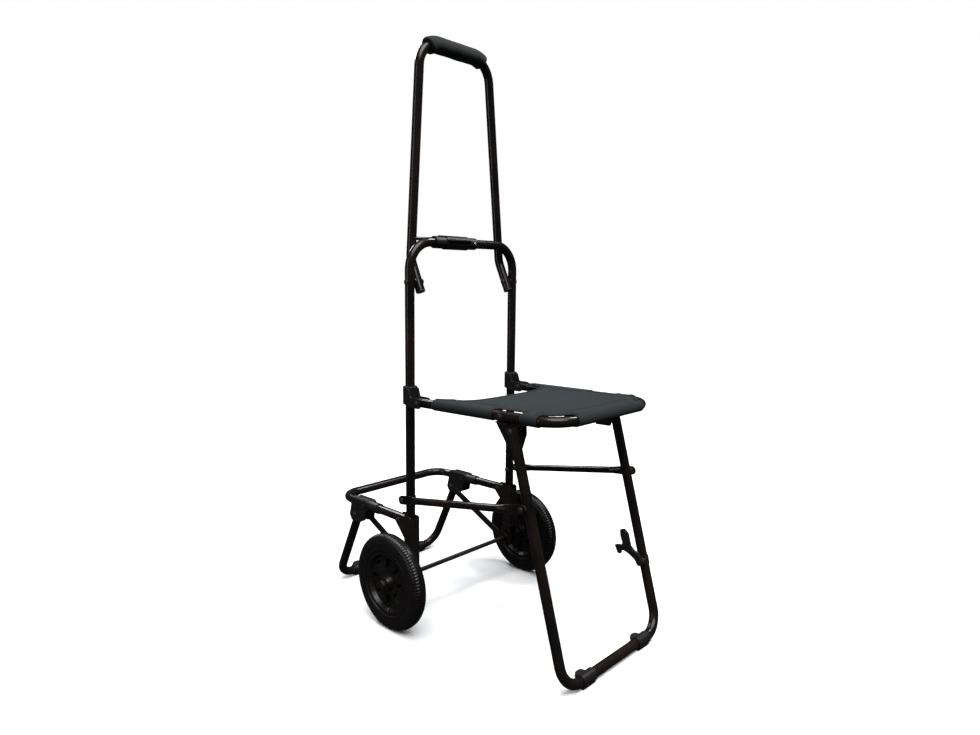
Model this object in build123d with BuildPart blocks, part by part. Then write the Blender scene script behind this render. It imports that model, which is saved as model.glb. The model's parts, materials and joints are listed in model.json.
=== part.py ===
"""Folding game cart with a fold-down sling seat, as an assembly of separate pieces.

Millimetres, +Z up, the seat towards -Y, left is -X. The origin is on the floor under the
middle of the cart. Places along Y are counted from the upright's plane, and UPRIGHT_Y puts
that plane in the cart's frame.
"""
import os
from math import asin, atan2, cos, degrees, hypot, pi, radians, sin, tan

from build123d import *

os.makedirs("parts", exist_ok=True)

# ---------------------------------------------------------------- driving dimensions
UPRIGHT_Y = 56.1          # upright's plane, so that the cart's box is centred on the origin
TUBE_R = 8.0              # 16 mm steel tube, used for every frame
TUBE_WALL = 1.2
FIT = 0.05                # radial play of a fixed fit
PIVOT_PLAY = 0.08         # radial play of a pivot pin in its hole
PIN_R = 3.0               # pivot pins and rivets
RIVET_HEAD_R = 5.0
RIVET_HEAD_H = 1.6
SHEET = 1.6               # steel sheet of the brackets

UPRIGHT_X = 126.8         # half width of the upright
TOP_BAR_Z = 653.7
UPRIGHT_BEND_R = 47.0
UPRIGHT_FOOT_Z = 66.0

AXLE_Z = 82.5
AXLE_R = 4.0
AXLE_HALF = 190.0
WHEEL_X = 171.0
WHEEL_R = 82.5
TYRE_HALF_WIDTH = 13.0
RIM_R = 54.0
RIM_INNER = 49.0          # inside of the rim, where the dished face begins
WEB_HALF = 5.0            # half thickness of the hub's web
POCKET_FLOOR = 1.0        # half thickness left in the blind pockets
HUB_HALF_WIDTH = 15.0
POCKET_COUNT = 8          # blind pockets between the hub's spokes, in both faces
POCKET_AT = 32.0
POCKET_LENGTH = 20.0
POCKET_WIDTH = 13.0
BUSH_R = 6.0              # steel sleeve bush in each hub
WHEEL_PLAY = 0.06

HANDLE_PIVOT = (0.0, 587.0)           # (y, z)
HANDLE_FOOT = (108.5, -6.0, 572.0)    # (x, y, z) of the lower end
HANDLE_ELBOW = (108.5, 18.2, 624.5)
HANDLE_TOP = (80.5, 25.5, 982.0)
HANDLE_BEND_R = 42.0
GRIP_R = 14.0
GRIP_HALF = 62.0
CROSS_ROD = (14.0, 659.0)             # (y, z)
CROSS_ROD_R = 3.0

SEAT_HINGE = (-29.0, 388.5)           # (y, z)
SEAT_LENGTH = 283.5                   # hinge to front bar
SEAT_RISE = 6.5                       # front bar above the hinge
SEAT_FRONT_X = 123.0
SEAT_BEND_R = 46.0
FABRIC = 1.2

LEG_PIVOT = (-235.8, 374.0)
LEG_TOP_X = 130.0
LEG_X = 128.0
LEG_FOOT = (-338.0, 10.5)
LEG_BEND_R = 36.0
STRUT_PIVOT = (0.0, 219.5)
STRUT_ON_LEG = 111.1                  # leg pivot to strut pivot, along the leg
STRUT_X = 146.0
STRUT_R = 6.0
STRUT_FLAT = 3.0
STRUT_FLAT_WIDTH = 15.0

PLATFORM_PIVOT = (23.0, 178.0)
PLATFORM_REAR = (206.6, 176.0)
PLATFORM_REAR_X = 123.0
PLATFORM_BEND_R = 32.0
STAND_PIVOT = (151.0, 155.0)
STAND_FOOT = (220.0, 10.5)
STAND_X = 125.0
STAND_BEND_R = 33.0
BRACE_X = 111.5
BRACE_THICK = 3.0
BRACE_WIDTH = 12.0

FOOT_R = 9.8                          # foot sleeves round the cross bars
SOLE_WIDTH = 13.0                     # flat sole under each foot sleeve
CATCH_X = 110.5                       # plane of the folding catch on the right leg


# ---------------------------------------------------------------- shared shapes
def place(x, y, z):
    """A point of the cart, with y counted back from the upright's plane."""
    return Vector(x, y + UPRIGHT_Y, z)


def side_plane(x):
    """The plane across the cart at x: local x runs back from the upright, local y runs up."""
    return Plane(origin=(x, UPRIGHT_Y, 0), x_dir=(0, 1, 0), z_dir=(1, 0, 0))


def tube(points, bend_radii, outer=TUBE_R, inner=TUBE_R - TUBE_WALL, mode=Mode.ADD):
    """A round tube along straight runs and bends; inner=0 makes it solid."""
    with BuildLine() as path:
        if bend_radii:
            FilletPolyline(*points, radius=bend_radii)
        else:
            Line(*points)
    sweep_ring(path.wire(), outer, inner, mode)


def sweep_ring(path, outer, inner, mode=Mode.ADD):
    """Sweep a ring, or a disc where inner is 0, along a path."""
    with BuildSketch(Plane(origin=path @ 0, z_dir=path % 0)) as ring:
        Circle(outer)
        if inner > 0:
            Circle(inner, mode=Mode.SUBTRACT)
    sweep(ring.sketch, path=path, mode=mode)


def rod_x(x_from, x_to, spot, radius, mode=Mode.ADD):
    """A round rod along X through spot, a (y, z) place."""
    with BuildSketch(side_plane(x_from)) as disc:
        with Locations(spot):
            Circle(radius)
    extrude(disc.sketch, amount=x_to - x_from, mode=mode)


def ring_x(x_from, x_to, spot, outer, inner):
    """A sleeve or washer along X through spot."""
    rod_x(x_from, x_to, spot, outer)
    rod_x(x_from, x_to, spot, inner, mode=Mode.SUBTRACT)


def rivet(x_from, x_to, spot, shank=PIN_R, head=RIVET_HEAD_R, height=RIVET_HEAD_H):
    """A rivet along X with a domed head beyond each end of its shank."""
    low, high = sorted((x_from, x_to))
    dome = (head**2 + height**2) / (2 * height)
    half = asin(head / dome) / 2
    crown = (dome * cos(half) - dome + height, dome * sin(half))
    section = Plane(origin=place(0, *spot), x_dir=(1, 0, 0), z_dir=(0, -1, 0))
    with BuildSketch(section) as profile:
        with BuildLine():
            ThreePointArc((low - height, 0), (low - crown[0], crown[1]), (low, head))
            Polyline((low, head), (low, shank), (high, shank), (high, head))
            ThreePointArc((high, head), (high + crown[0], crown[1]), (high + height, 0))
            Line((high + height, 0), (low - height, 0))
        make_face()
    revolve(profile.sketch, axis=Axis(place(0, *spot), (1, 0, 0)))


def plate(x_from, x_to, corners, radius, bosses=(), holes=()):
    """A sheet across the cart with rounded corners; bosses and holes are (y, z, radius)."""
    with BuildSketch(side_plane(x_from)) as outline:
        with BuildLine():
            Polyline(*corners, close=True)
        make_face()
        fillet(outline.vertices(), radius)
        for y, z, size in bosses:
            with Locations((y, z)):
                Circle(size)
        for y, z, size in holes:
            with Locations((y, z)):
                Circle(size, mode=Mode.SUBTRACT)
    extrude(outline.sketch, amount=x_to - x_from)


def finish(piece, name):
    """Label a finished piece and write it."""
    piece.part.label = name
    export_step(piece.part, f"parts/{name}.step")


SIDES = (("left", -1), ("right", 1))

# ---------------------------------------------------------------- fixed frame
HOOP_FROM_Z = 605.0         # the top hoop stands on the posts here, on a spigot inside each
SPIGOT_LENGTH = 12.0
SPIGOT_R = TUBE_R - TUBE_WALL - FIT
with BuildPart() as top_hoop:
    tube(
        [
            place(-UPRIGHT_X, 0, HOOP_FROM_Z),
            place(-UPRIGHT_X, 0, TOP_BAR_Z),
            place(UPRIGHT_X, 0, TOP_BAR_Z),
            place(UPRIGHT_X, 0, HOOP_FROM_Z),
        ],
        UPRIGHT_BEND_R,
    )
    for side in (-1, 1):
        spigot = [place(side * UPRIGHT_X, 0, HOOP_FROM_Z + up) for up in (-SPIGOT_LENGTH, 1.0)]
        tube(spigot, 0, SPIGOT_R, SPIGOT_R - TUBE_WALL)
        fillers = [place(side * UPRIGHT_X, 0, HOOP_FROM_Z + up) for up in (0, 1.0)]
        tube(fillers, 0, TUBE_R - TUBE_WALL / 2, SPIGOT_R - TUBE_WALL)
finish(top_hoop, "top_hoop")

with BuildPart() as upright_posts:
    for side in (-1, 1):
        tube([place(side * UPRIGHT_X, 0, z) for z in (UPRIGHT_FOOT_Z, HOOP_FROM_Z - FIT)], 0)
    for spot, hole in (
        ((0, AXLE_Z), AXLE_R + FIT),
        (STRUT_PIVOT, PIN_R + FIT),
        (HANDLE_PIVOT, PIN_R + FIT),
    ):
        rod_x(-UPRIGHT_X - 2 * TUBE_R, UPRIGHT_X + 2 * TUBE_R, spot, hole, mode=Mode.SUBTRACT)
finish(upright_posts, "upright_posts")

# Sheet channel round the foot of each upright leg: two cheeks and a front web.
CHEEK_GAP = TUBE_R + 0.35
BRACKET_FRONT = -11.2
BRACKET_OUTLINE = [
    (BRACKET_FRONT, 188), (33, 185), (33, 177), (6, 148), (6, 120), (11, 100), (11, 71),
    (BRACKET_FRONT, 71),
]
for name, side in SIDES:
    with BuildPart() as wheel_bracket:
        for near in (UPRIGHT_X - CHEEK_GAP - SHEET, UPRIGHT_X + CHEEK_GAP):
            plate(
                side * near,
                side * (near + SHEET),
                BRACKET_OUTLINE,
                4.5,
                holes=[(0, AXLE_Z, AXLE_R + FIT), (*PLATFORM_PIVOT, PIN_R + FIT)],
            )
        with Locations(place(side * UPRIGHT_X, BRACKET_FRONT + SHEET / 2, 143)):
            Box(2 * CHEEK_GAP + SHEET, SHEET, 78)
    finish(wheel_bracket, f"wheel_bracket_{name}")

with BuildPart() as platform_pivot_pins:
    for side in (-1, 1):
        reach = CHEEK_GAP + SHEET + FIT
        rivet(side * (UPRIGHT_X - reach), side * (UPRIGHT_X + reach), PLATFORM_PIVOT)
finish(platform_pivot_pins, "platform_pivot_pins")

with BuildPart() as axle:
    rod_x(-AXLE_HALF, AXLE_HALF, (0, AXLE_Z), AXLE_R)
    chamfer(axle.edges().group_by(Axis.X)[0] + axle.edges().group_by(Axis.X)[-1], 0.8)
finish(axle, "axle")

SPACER_FROM = UPRIGHT_X + CHEEK_GAP + SHEET + 0.1
SPACER_TO = WHEEL_X - HUB_HALF_WIDTH - 0.4
with BuildPart() as axle_spacers:
    for side in (-1, 1):
        ring_x(side * SPACER_FROM, side * SPACER_TO, (0, AXLE_Z), AXLE_R + 2.5, AXLE_R + FIT)
finish(axle_spacers, "axle_spacers")

CAP_FROM = WHEEL_X + HUB_HALF_WIDTH + 0.4
CAP_LENGTH = 6.0
with BuildPart() as axle_caps:
    for side in (-1, 1):
        rod_x(side * CAP_FROM, side * (CAP_FROM + CAP_LENGTH), (0, AXLE_Z), AXLE_R + 3)
    ends = axle_caps.faces().sort_by(Axis.X)
    fillet(ends[0].edges() + ends[-1].edges(), 2.2)
    rod_x(-AXLE_HALF - FIT, AXLE_HALF + FIT, (0, AXLE_Z), AXLE_R + FIT, mode=Mode.SUBTRACT)
finish(axle_caps, "axle_caps")

# Moulded collar on each upright leg, with a fork in front for the seat tube.
COLLAR_R = 12.2
COLLAR_LOW = 383.0
COLLAR_HIGH = 413.5
FORK_INNER = TUBE_R + 0.4
FORK_FRONT = -36.0
FORK_LOW = 380.0
FORK_HIGH = 396.5
for name, side in SIDES:
    with BuildPart() as seat_hinge_collar:
        with BuildSketch(Plane.XY.offset(COLLAR_LOW)) as ring:
            with Locations((side * UPRIGHT_X, UPRIGHT_Y)):
                Circle(COLLAR_R)
        extrude(ring.sketch, amount=COLLAR_HIGH - COLLAR_LOW)
        fillet(seat_hinge_collar.edges().filter_by(GeomType.CIRCLE), 1.2)
        for near in (UPRIGHT_X - COLLAR_R, UPRIGHT_X + FORK_INNER):
            plate(
                side * near,
                side * (near + COLLAR_R - FORK_INNER),
                [(3, COLLAR_LOW + 1), (3, COLLAR_HIGH - 3), (-8, COLLAR_HIGH - 3), (-13, FORK_HIGH),
                 (FORK_FRONT, FORK_HIGH), (FORK_FRONT, FORK_LOW), (-14, FORK_LOW)],
                2.0,
                holes=[(*SEAT_HINGE, PIN_R + FIT)],
            )
        tube([place(side * UPRIGHT_X, 0, COLLAR_LOW - 9), place(side * UPRIGHT_X, 0, COLLAR_HIGH + 5)],
             None, TUBE_R + FIT, 0, mode=Mode.SUBTRACT)
    finish(seat_hinge_collar, f"seat_hinge_collar_{name}")

with BuildPart() as seat_hinge_pins:
    for side in (-1, 1):
        reach = COLLAR_R + FIT
        rivet(side * (UPRIGHT_X - reach), side * (UPRIGHT_X + reach), SEAT_HINGE)
finish(seat_hinge_pins, "seat_hinge_pins")

# Bolts that carry the handle: head outside the upright, dome inside the handle leg.
with BuildPart() as handle_pivot_bolts:
    for side in (-1, 1):
        rivet(
            side * (HANDLE_FOOT[0] - TUBE_R - 0.4), side * (UPRIGHT_X + TUBE_R + FIT), HANDLE_PIVOT,
        )
finish(handle_pivot_bolts, "handle_pivot_bolts")

with BuildPart() as handle_spacers:
    for side in (-1, 1):
        ring_x(
            side * (HANDLE_FOOT[0] + TUBE_R + 0.3),
            side * (UPRIGHT_X - TUBE_R - FIT),
            HANDLE_PIVOT,
            6.5,
            PIN_R + FIT,
        )
finish(handle_spacers, "handle_spacers")

# Rivets that carry the seat struts, with a long spacer outside each upright leg.
with BuildPart() as strut_rear_rivets:
    for side in (-1, 1):
        rivet(
            side * (UPRIGHT_X - TUBE_R - FIT), side * (STRUT_X + STRUT_FLAT / 2 + 0.3), STRUT_PIVOT,
        )
        rod_x(
            side * (UPRIGHT_X + TUBE_R + FIT),
            side * (STRUT_X - STRUT_FLAT / 2 - 0.3),
            STRUT_PIVOT,
            RIVET_HEAD_R,
        )
finish(strut_rear_rivets, "strut_rear_rivets")

# Latch on the top bar: a sleeve with two hooks under the handle's cross rod.
LATCH_LEFT = -74.0
LATCH_RIGHT = 23.0
FLAP_LEFT = -50.5
FLAP_RIGHT = 3.0
LATCH_R = 10.4
LATCH_CORE_R = 9.2
FLAP_OUTER_R = 11.8
FLAP_PLAY = 0.35
TOP_BAR = (0.0, TOP_BAR_Z)
HOOK_TIP_Y = 20.0
HOOK_TOP_Z = CROSS_ROD[1] - CROSS_ROD_R - 0.3
HOOK_BOTTOM_Z = HOOK_TOP_Z - 3.0
with BuildPart() as latch_sleeve:
    rod_x(LATCH_LEFT, LATCH_RIGHT, TOP_BAR, LATCH_CORE_R)
    for start, end in ((LATCH_LEFT, FLAP_LEFT), (FLAP_RIGHT, LATCH_RIGHT)):
        rod_x(start, end, TOP_BAR, LATCH_R)
        plate(
            start + 3,
            end - 3,
            [(4, HOOK_BOTTOM_Z - 3), (HOOK_TIP_Y, HOOK_BOTTOM_Z), (HOOK_TIP_Y, HOOK_TOP_Z),
             (4, HOOK_TOP_Z)],
            1.2,
        )
    rod_x(LATCH_LEFT - 1, LATCH_RIGHT + 1, TOP_BAR, TUBE_R + FIT, mode=Mode.SUBTRACT)
    rod_x(LATCH_LEFT - 1, LATCH_RIGHT + 1, CROSS_ROD, CROSS_ROD_R + 0.3, mode=Mode.SUBTRACT)
finish(latch_sleeve, "latch_sleeve")


def around_bar(radius, angle):
    """A (y, z) place round the top bar; angle 0 points back and 90 up."""
    turn = radians(angle)
    return (radius * cos(turn), TOP_BAR_Z + radius * sin(turn))


FLAP_FROM = 36.0
FLAP_TO = 300.0
LIP_R = 19.5                # reach of the lip over the cross rod
RIDGE_R = 15.5              # reach of the thumb ridge
RIDGE_AT = 164.0            # its angle round the bar
with BuildPart() as latch_flap:
    with BuildSketch(side_plane(FLAP_LEFT + FLAP_PLAY)) as band:
        with BuildLine():
            inner = LATCH_CORE_R + FLAP_PLAY
            middle = (FLAP_FROM + FLAP_TO) / 2
            ThreePointArc(*[around_bar(FLAP_OUTER_R, a) for a in (FLAP_FROM, middle, FLAP_TO)])
            Line(around_bar(FLAP_OUTER_R, FLAP_TO), around_bar(inner, FLAP_TO))
            ThreePointArc(*[around_bar(inner, a) for a in (FLAP_TO, middle, FLAP_FROM)])
            Line(around_bar(inner, FLAP_FROM), around_bar(FLAP_OUTER_R, FLAP_FROM))
        make_face()
        # The lip over the cross rod, and the thumb ridge in front.
        with BuildLine():
            Polyline(
                around_bar(inner + 0.5, FLAP_FROM),
                around_bar(LIP_R, FLAP_FROM),
                around_bar(LIP_R, FLAP_FROM + 6),
                around_bar(inner + 0.5, FLAP_FROM + 16),
                close=True,
            )
        make_face()
        with BuildLine():
            Polyline(
                around_bar(inner + 0.5, RIDGE_AT - 14),
                around_bar(RIDGE_R, RIDGE_AT - 5),
                around_bar(RIDGE_R, RIDGE_AT + 3),
                around_bar(inner + 0.5, RIDGE_AT + 14),
                close=True,
            )
        make_face()
    extrude(band.sketch, amount=FLAP_RIGHT - FLAP_LEFT - 2 * FLAP_PLAY)
finish(latch_flap, "latch_flap")

# ---------------------------------------------------------------- handle
HANDLE_CORNERS = [(side * x, y, z) for side, order in ((-1, 1), (1, -1))
                  for x, y, z in (HANDLE_FOOT, HANDLE_ELBOW, HANDLE_TOP)[::order]]
with BuildPart() as handle_frame:
    tube(
        [place(*corner) for corner in HANDLE_CORNERS],
        [40, HANDLE_BEND_R, HANDLE_BEND_R, 40],
    )
    for side in (-1, 1):
        inner_x = side * (HANDLE_FOOT[0] - TUBE_R - 1)
        outer_x = side * (HANDLE_FOOT[0] + TUBE_R + 1)
        rod_x(inner_x, outer_x, HANDLE_PIVOT, PIN_R + PIVOT_PLAY, mode=Mode.SUBTRACT)
        rod_x(0, side * HANDLE_FOOT[0], CROSS_ROD, CROSS_ROD_R + FIT, mode=Mode.SUBTRACT)
finish(handle_frame, "handle_frame")

with BuildPart() as handle_cross_rod:
    rod_x(-HANDLE_FOOT[0] + 0.2, HANDLE_FOOT[0] - 0.2, CROSS_ROD, CROSS_ROD_R)
finish(handle_cross_rod, "handle_cross_rod")

with BuildPart() as handle_end_plugs:
    foot = Vector(0, HANDLE_FOOT[1], HANDLE_FOOT[2])
    along = (Vector(0, HANDLE_ELBOW[1], HANDLE_ELBOW[2]) - foot).normalized()
    for side in (-1, 1):
        mouth = Plane(origin=place(side * HANDLE_FOOT[0], foot.Y, foot.Z), z_dir=along)
        with BuildSketch(mouth) as stem:
            Circle(TUBE_R - TUBE_WALL - FIT)
        extrude(stem.sketch, amount=7)
        with BuildSketch(mouth) as cap:
            Circle(TUBE_R)
        extrude(cap.sketch, amount=-1.8)
finish(handle_end_plugs, "handle_end_plugs")

# Foam grip: along the top bar and a little way round each bend.
LEG_RUN = Vector(*HANDLE_ELBOW) - Vector(*HANDLE_TOP)
LEAN = atan2(LEG_RUN.X, hypot(LEG_RUN.Y, LEG_RUN.Z))
GRIP_STRAIGHT = HANDLE_TOP[0] - HANDLE_BEND_R * tan((pi / 2 - LEAN) / 2)
GRIP_ARC = degrees((GRIP_HALF - GRIP_STRAIGHT) / HANDLE_BEND_R)
GRIP_PLANE = Plane(
    origin=place(0, HANDLE_TOP[1], HANDLE_TOP[2]),
    x_dir=(1, 0, 0),
    z_dir=Vector(1, 0, 0).cross(Vector(0, -LEG_RUN.Y, -LEG_RUN.Z)),
)
with BuildPart() as handle_grip:
    with BuildLine(GRIP_PLANE) as grip_path:
        JernArc((-GRIP_STRAIGHT, 0), (-1, 0), HANDLE_BEND_R, GRIP_ARC)
        Line((-GRIP_STRAIGHT, 0), (GRIP_STRAIGHT, 0))
        JernArc((GRIP_STRAIGHT, 0), (1, 0), HANDLE_BEND_R, -GRIP_ARC)
    sweep_ring(grip_path.wire(), GRIP_R, TUBE_R + FIT)
finish(handle_grip, "handle_grip")

# ---------------------------------------------------------------- seat
SEAT_NORMAL = Vector(0, SEAT_RISE / SEAT_LENGTH, 1)
SEAT_PLANE = Plane(origin=place(0, *SEAT_HINGE), x_dir=(1, 0, 0), z_dir=SEAT_NORMAL)
SEAT_TAIL = 10.0            # tube behind the hinge pin


def seat_point(x, forward, up=0.0):
    """A point in the seat's plane, forward of the hinge and above the tubes' centre lines."""
    return SEAT_PLANE.from_local_coords((x, -forward, up))


def seat_half_width(forward):
    """Half width between the centre lines of the seat's side tubes."""
    return UPRIGHT_X + (SEAT_FRONT_X - UPRIGHT_X) * forward / SEAT_LENGTH


SEAT_CORNERS = [
    seat_point(-UPRIGHT_X, -SEAT_TAIL),
    seat_point(-SEAT_FRONT_X, SEAT_LENGTH),
    seat_point(SEAT_FRONT_X, SEAT_LENGTH),
    seat_point(UPRIGHT_X, -SEAT_TAIL),
]
PLATE_X = 114.0             # inner face of the leg brackets' plates
RIVET_AT = 180.0            # leg bracket rivet, forward of the hinge
BRACKET_RIVET = (SEAT_HINGE[0] - RIVET_AT, SEAT_HINGE[1] + SEAT_RISE * RIVET_AT / SEAT_LENGTH)
with BuildPart() as seat_frame:
    tube(SEAT_CORNERS, SEAT_BEND_R)
    reach = UPRIGHT_X + TUBE_R + 1
    rod_x(-reach, reach, SEAT_HINGE, PIN_R + PIVOT_PLAY, mode=Mode.SUBTRACT)
    rod_x(-reach, reach, BRACKET_RIVET, PIN_R + FIT, mode=Mode.SUBTRACT)
finish(seat_frame, "seat_frame")

# Sling: a sheet over the tubes, closed round them as sleeves, cut away at the leg brackets
# and at the front bends.
FABRIC_INNER = TUBE_R + FIT
FABRIC_OUTER = FABRIC_INNER + FABRIC
SLEEVES = [(33, 164), (219, 250)]     # stretches along each side tube, forward of the hinge
FRONT_SLEEVE_X = 86.0
REAR_EDGE = 80.0            # middle of the hollowed rear edge
NOTCH_X = 118.0             # the sheet's edge beside the leg brackets
FRONT_EDGE_R = 42.0         # the sheet's edge inside the front bends
FRONT_EDGE_TURNS = (17, 32, 47, 62, 77)
SHEET_LOW = TUBE_R - 0.4
with BuildPart() as seat_fabric:
    for side in (-1, 1):
        for start, end in SLEEVES:
            with BuildLine() as sleeve_path:
                Line(*[seat_point(side * seat_half_width(at), at) for at in (start, end)])
            sweep_ring(sleeve_path.wire(), FABRIC_OUTER, 0)
    with BuildLine() as sleeve_path:
        Line(seat_point(-FRONT_SLEEVE_X, SEAT_LENGTH), seat_point(FRONT_SLEEVE_X, SEAT_LENGTH))
    sweep_ring(sleeve_path.wire(), FABRIC_OUTER, 0)
    with BuildSketch(SEAT_PLANE.offset(SHEET_LOW)) as sheet:
        with BuildLine():
            half_outline = [
                (78, REAR_EDGE), (110, 70), (seat_half_width(33), 33), (seat_half_width(164), 164),
                (NOTCH_X, 166), (NOTCH_X, 217), (seat_half_width(219), 219), (seat_half_width(250), 250),
                *[
                    (
                        SEAT_FRONT_X - SEAT_BEND_R + FRONT_EDGE_R * cos(radians(turn)),
                        SEAT_LENGTH - SEAT_BEND_R + FRONT_EDGE_R * sin(radians(turn)),
                    )
                    for turn in FRONT_EDGE_TURNS
                ],
                (FRONT_SLEEVE_X, SEAT_LENGTH),
            ]
            Polyline(
                *[(x, -forward) for x, forward in half_outline],
                *[(-x, -forward) for x, forward in reversed(half_outline)],
                close=True,
            )
        make_face()
    extrude(sheet.sketch, amount=FABRIC)
    tube(SEAT_CORNERS, SEAT_BEND_R, FABRIC_INNER, 0, mode=Mode.SUBTRACT)
finish(seat_fabric, "seat_fabric")

# Leg brackets: a sheet plate inside each side tube, riveted through it, with a flange below it.
LEG_PLATE = [
    (-195, 396), (-246, 397), (-248, 370), (-240, 346), (-211, 345), (-186, 380), (-195, 384),
]
FLANGE_RUN = 24.0
FLANGE_WIDTH = 18.0
FLANGE_TOP = 384.2
for name, side in SIDES:
    with BuildPart() as leg_bracket:
        plate(
            side * PLATE_X,
            side * (PLATE_X + SHEET),
            LEG_PLATE,
            3.0,
            bosses=[(*LEG_PIVOT, 8.5)],
            holes=[(*LEG_PIVOT, PIN_R + FIT), (*BRACKET_RIVET, PIN_R + FIT)],
        )
        with Locations(
            place(side * (PLATE_X + FLANGE_WIDTH / 2), BRACKET_RIVET[0] - 3, FLANGE_TOP - SHEET / 2)
        ):
            Box(FLANGE_WIDTH, FLANGE_RUN, SHEET)
    finish(leg_bracket, f"leg_bracket_{name}")

with BuildPart() as leg_pivot_pins:
    for side in (-1, 1):
        rivet(side * (PLATE_X - FIT), side * (LEG_TOP_X + TUBE_R + 0.4), LEG_PIVOT)
        rod_x(side * (PLATE_X + SHEET + FIT), side * (LEG_TOP_X - TUBE_R - 0.4), LEG_PIVOT, 5.5)
finish(leg_pivot_pins, "leg_pivot_pins")

with BuildPart() as leg_bracket_rivets:
    for side in (-1, 1):
        outer = seat_half_width(RIVET_AT) + TUBE_R + 2 * FIT
        rivet(side * (PLATE_X - FIT), side * outer, BRACKET_RIVET)
finish(leg_bracket_rivets, "leg_bracket_rivets")

# ---------------------------------------------------------------- front legs
LEG_LENGTH = hypot(LEG_FOOT[0] - LEG_PIVOT[0], LEG_FOOT[1] - LEG_PIVOT[1])
LEG_DIR = (
    (LEG_FOOT[0] - LEG_PIVOT[0]) / LEG_LENGTH,
    (LEG_FOOT[1] - LEG_PIVOT[1]) / LEG_LENGTH,
)
LEG_TAIL = 6.5


def on_leg(below_pivot, behind=0.0):
    """A (y, z) place on the front leg's line, or behind it."""
    return (
        LEG_PIVOT[0] + LEG_DIR[0] * below_pivot - LEG_DIR[1] * behind,
        LEG_PIVOT[1] + LEG_DIR[1] * below_pivot + LEG_DIR[0] * behind,
    )


with BuildPart() as leg_frame:
    tube(
        [
            place(-LEG_TOP_X, *on_leg(-LEG_TAIL)),
            place(-LEG_X, *LEG_FOOT),
            place(LEG_X, *LEG_FOOT),
            place(LEG_TOP_X, *on_leg(-LEG_TAIL)),
        ],
        LEG_BEND_R,
    )
    reach = LEG_TOP_X + TUBE_R + 1
    rod_x(-reach, reach, LEG_PIVOT, PIN_R + PIVOT_PLAY, mode=Mode.SUBTRACT)
finish(leg_frame, "leg_frame")

FOOT_FROM = 60.0
FOOT_TO = 91.0
TONGUE_HALF = 10.5          # half width, along the bar
TONGUE_REACH = 17.5         # from the bar's centre
TONGUE_THICK = 5.0


def foot(side, spot, rise):
    """A floor sleeve with a flat sole on a cross bar; a tongue behind it rises by an angle."""
    rod_x(side * FOOT_FROM, side * FOOT_TO, spot, FOOT_R)
    with Locations(place(side * (FOOT_FROM + FOOT_TO) / 2, spot[0], spot[1] / 2)):
        Box(FOOT_TO - FOOT_FROM, SOLE_WIDTH, spot[1])
    back = Vector(0, cos(radians(rise)), sin(radians(rise)))
    tongue_plane = Plane(
        origin=place(side * (FOOT_FROM + FOOT_TO) / 2, *spot),
        x_dir=(1, 0, 0),
        z_dir=Vector(1, 0, 0).cross(back),
    )
    with BuildSketch(tongue_plane) as tongue:
        with Locations((0, TONGUE_REACH / 2)):
            Rectangle(2 * TONGUE_HALF, TONGUE_REACH)
        fillet(tongue.vertices().group_by(Axis.Y)[-1], 8)
    extrude(tongue.sketch, amount=TONGUE_THICK / 2, both=True)
    rod_x(side * (FOOT_FROM - 1), side * (FOOT_TO + 1), spot, TUBE_R + FIT, mode=Mode.SUBTRACT)


for name, side in SIDES:
    with BuildPart() as front_foot:
        foot(side, LEG_FOOT, 8)
    finish(front_foot, f"front_foot_{name}")

# Folding catch: a lug clamped on the right leg, and a thumb lever with a barbed hook.
CATCH_UP = 117.0            # catch pin above the floor bar, along the leg
CATCH_AT = LEG_LENGTH - CATCH_UP
CATCH_PIVOT = on_leg(CATCH_AT, -3.5)
CATCH_PIN_R = 2.0
CATCH_HALF = 2.8
CATCH_SIDE = LEG_X + (LEG_TOP_X - LEG_X) * CATCH_UP / LEG_LENGTH      # leg's centre line there
CLAMP_HALF = 7.0
CLAMP_WALL = 1.2
with BuildPart() as catch_lug:
    with BuildLine() as lug_path:
        Line(*[place(CATCH_SIDE, *on_leg(CATCH_AT + at)) for at in (-CLAMP_HALF, CLAMP_HALF)])
    sweep_ring(lug_path.wire(), TUBE_R + CLAMP_WALL, 0)
    rod_x(CATCH_X + CATCH_HALF + 0.4, CATCH_SIDE - 5, CATCH_PIVOT, 5.0)
    with BuildLine() as lug_path:
        Line(*[place(CATCH_SIDE, *on_leg(CATCH_AT + at)) for at in (-2 * CLAMP_HALF, 2 * CLAMP_HALF)])
    sweep_ring(lug_path.wire(), TUBE_R + 2 * FIT, 0, mode=Mode.SUBTRACT)
    rod_x(CATCH_X, CATCH_SIDE - TUBE_R + 1, CATCH_PIVOT, CATCH_PIN_R + FIT, mode=Mode.SUBTRACT)
finish(catch_lug, "catch_lug")

with BuildPart() as catch_pin:
    rod_x(CATCH_X - CATCH_HALF - 1.4, CATCH_SIDE - TUBE_R - 0.2, CATCH_PIVOT, CATCH_PIN_R)
    rod_x(CATCH_X - CATCH_HALF - 1.6, CATCH_X - CATCH_HALF - 0.3, CATCH_PIVOT, 3.8)
finish(catch_pin, "catch_pin")


def on_catch(up, behind):
    """A (y, z) place on the catch, counted up the leg from its pin and behind the leg."""
    return on_leg(CATCH_AT - up, behind)


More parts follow.
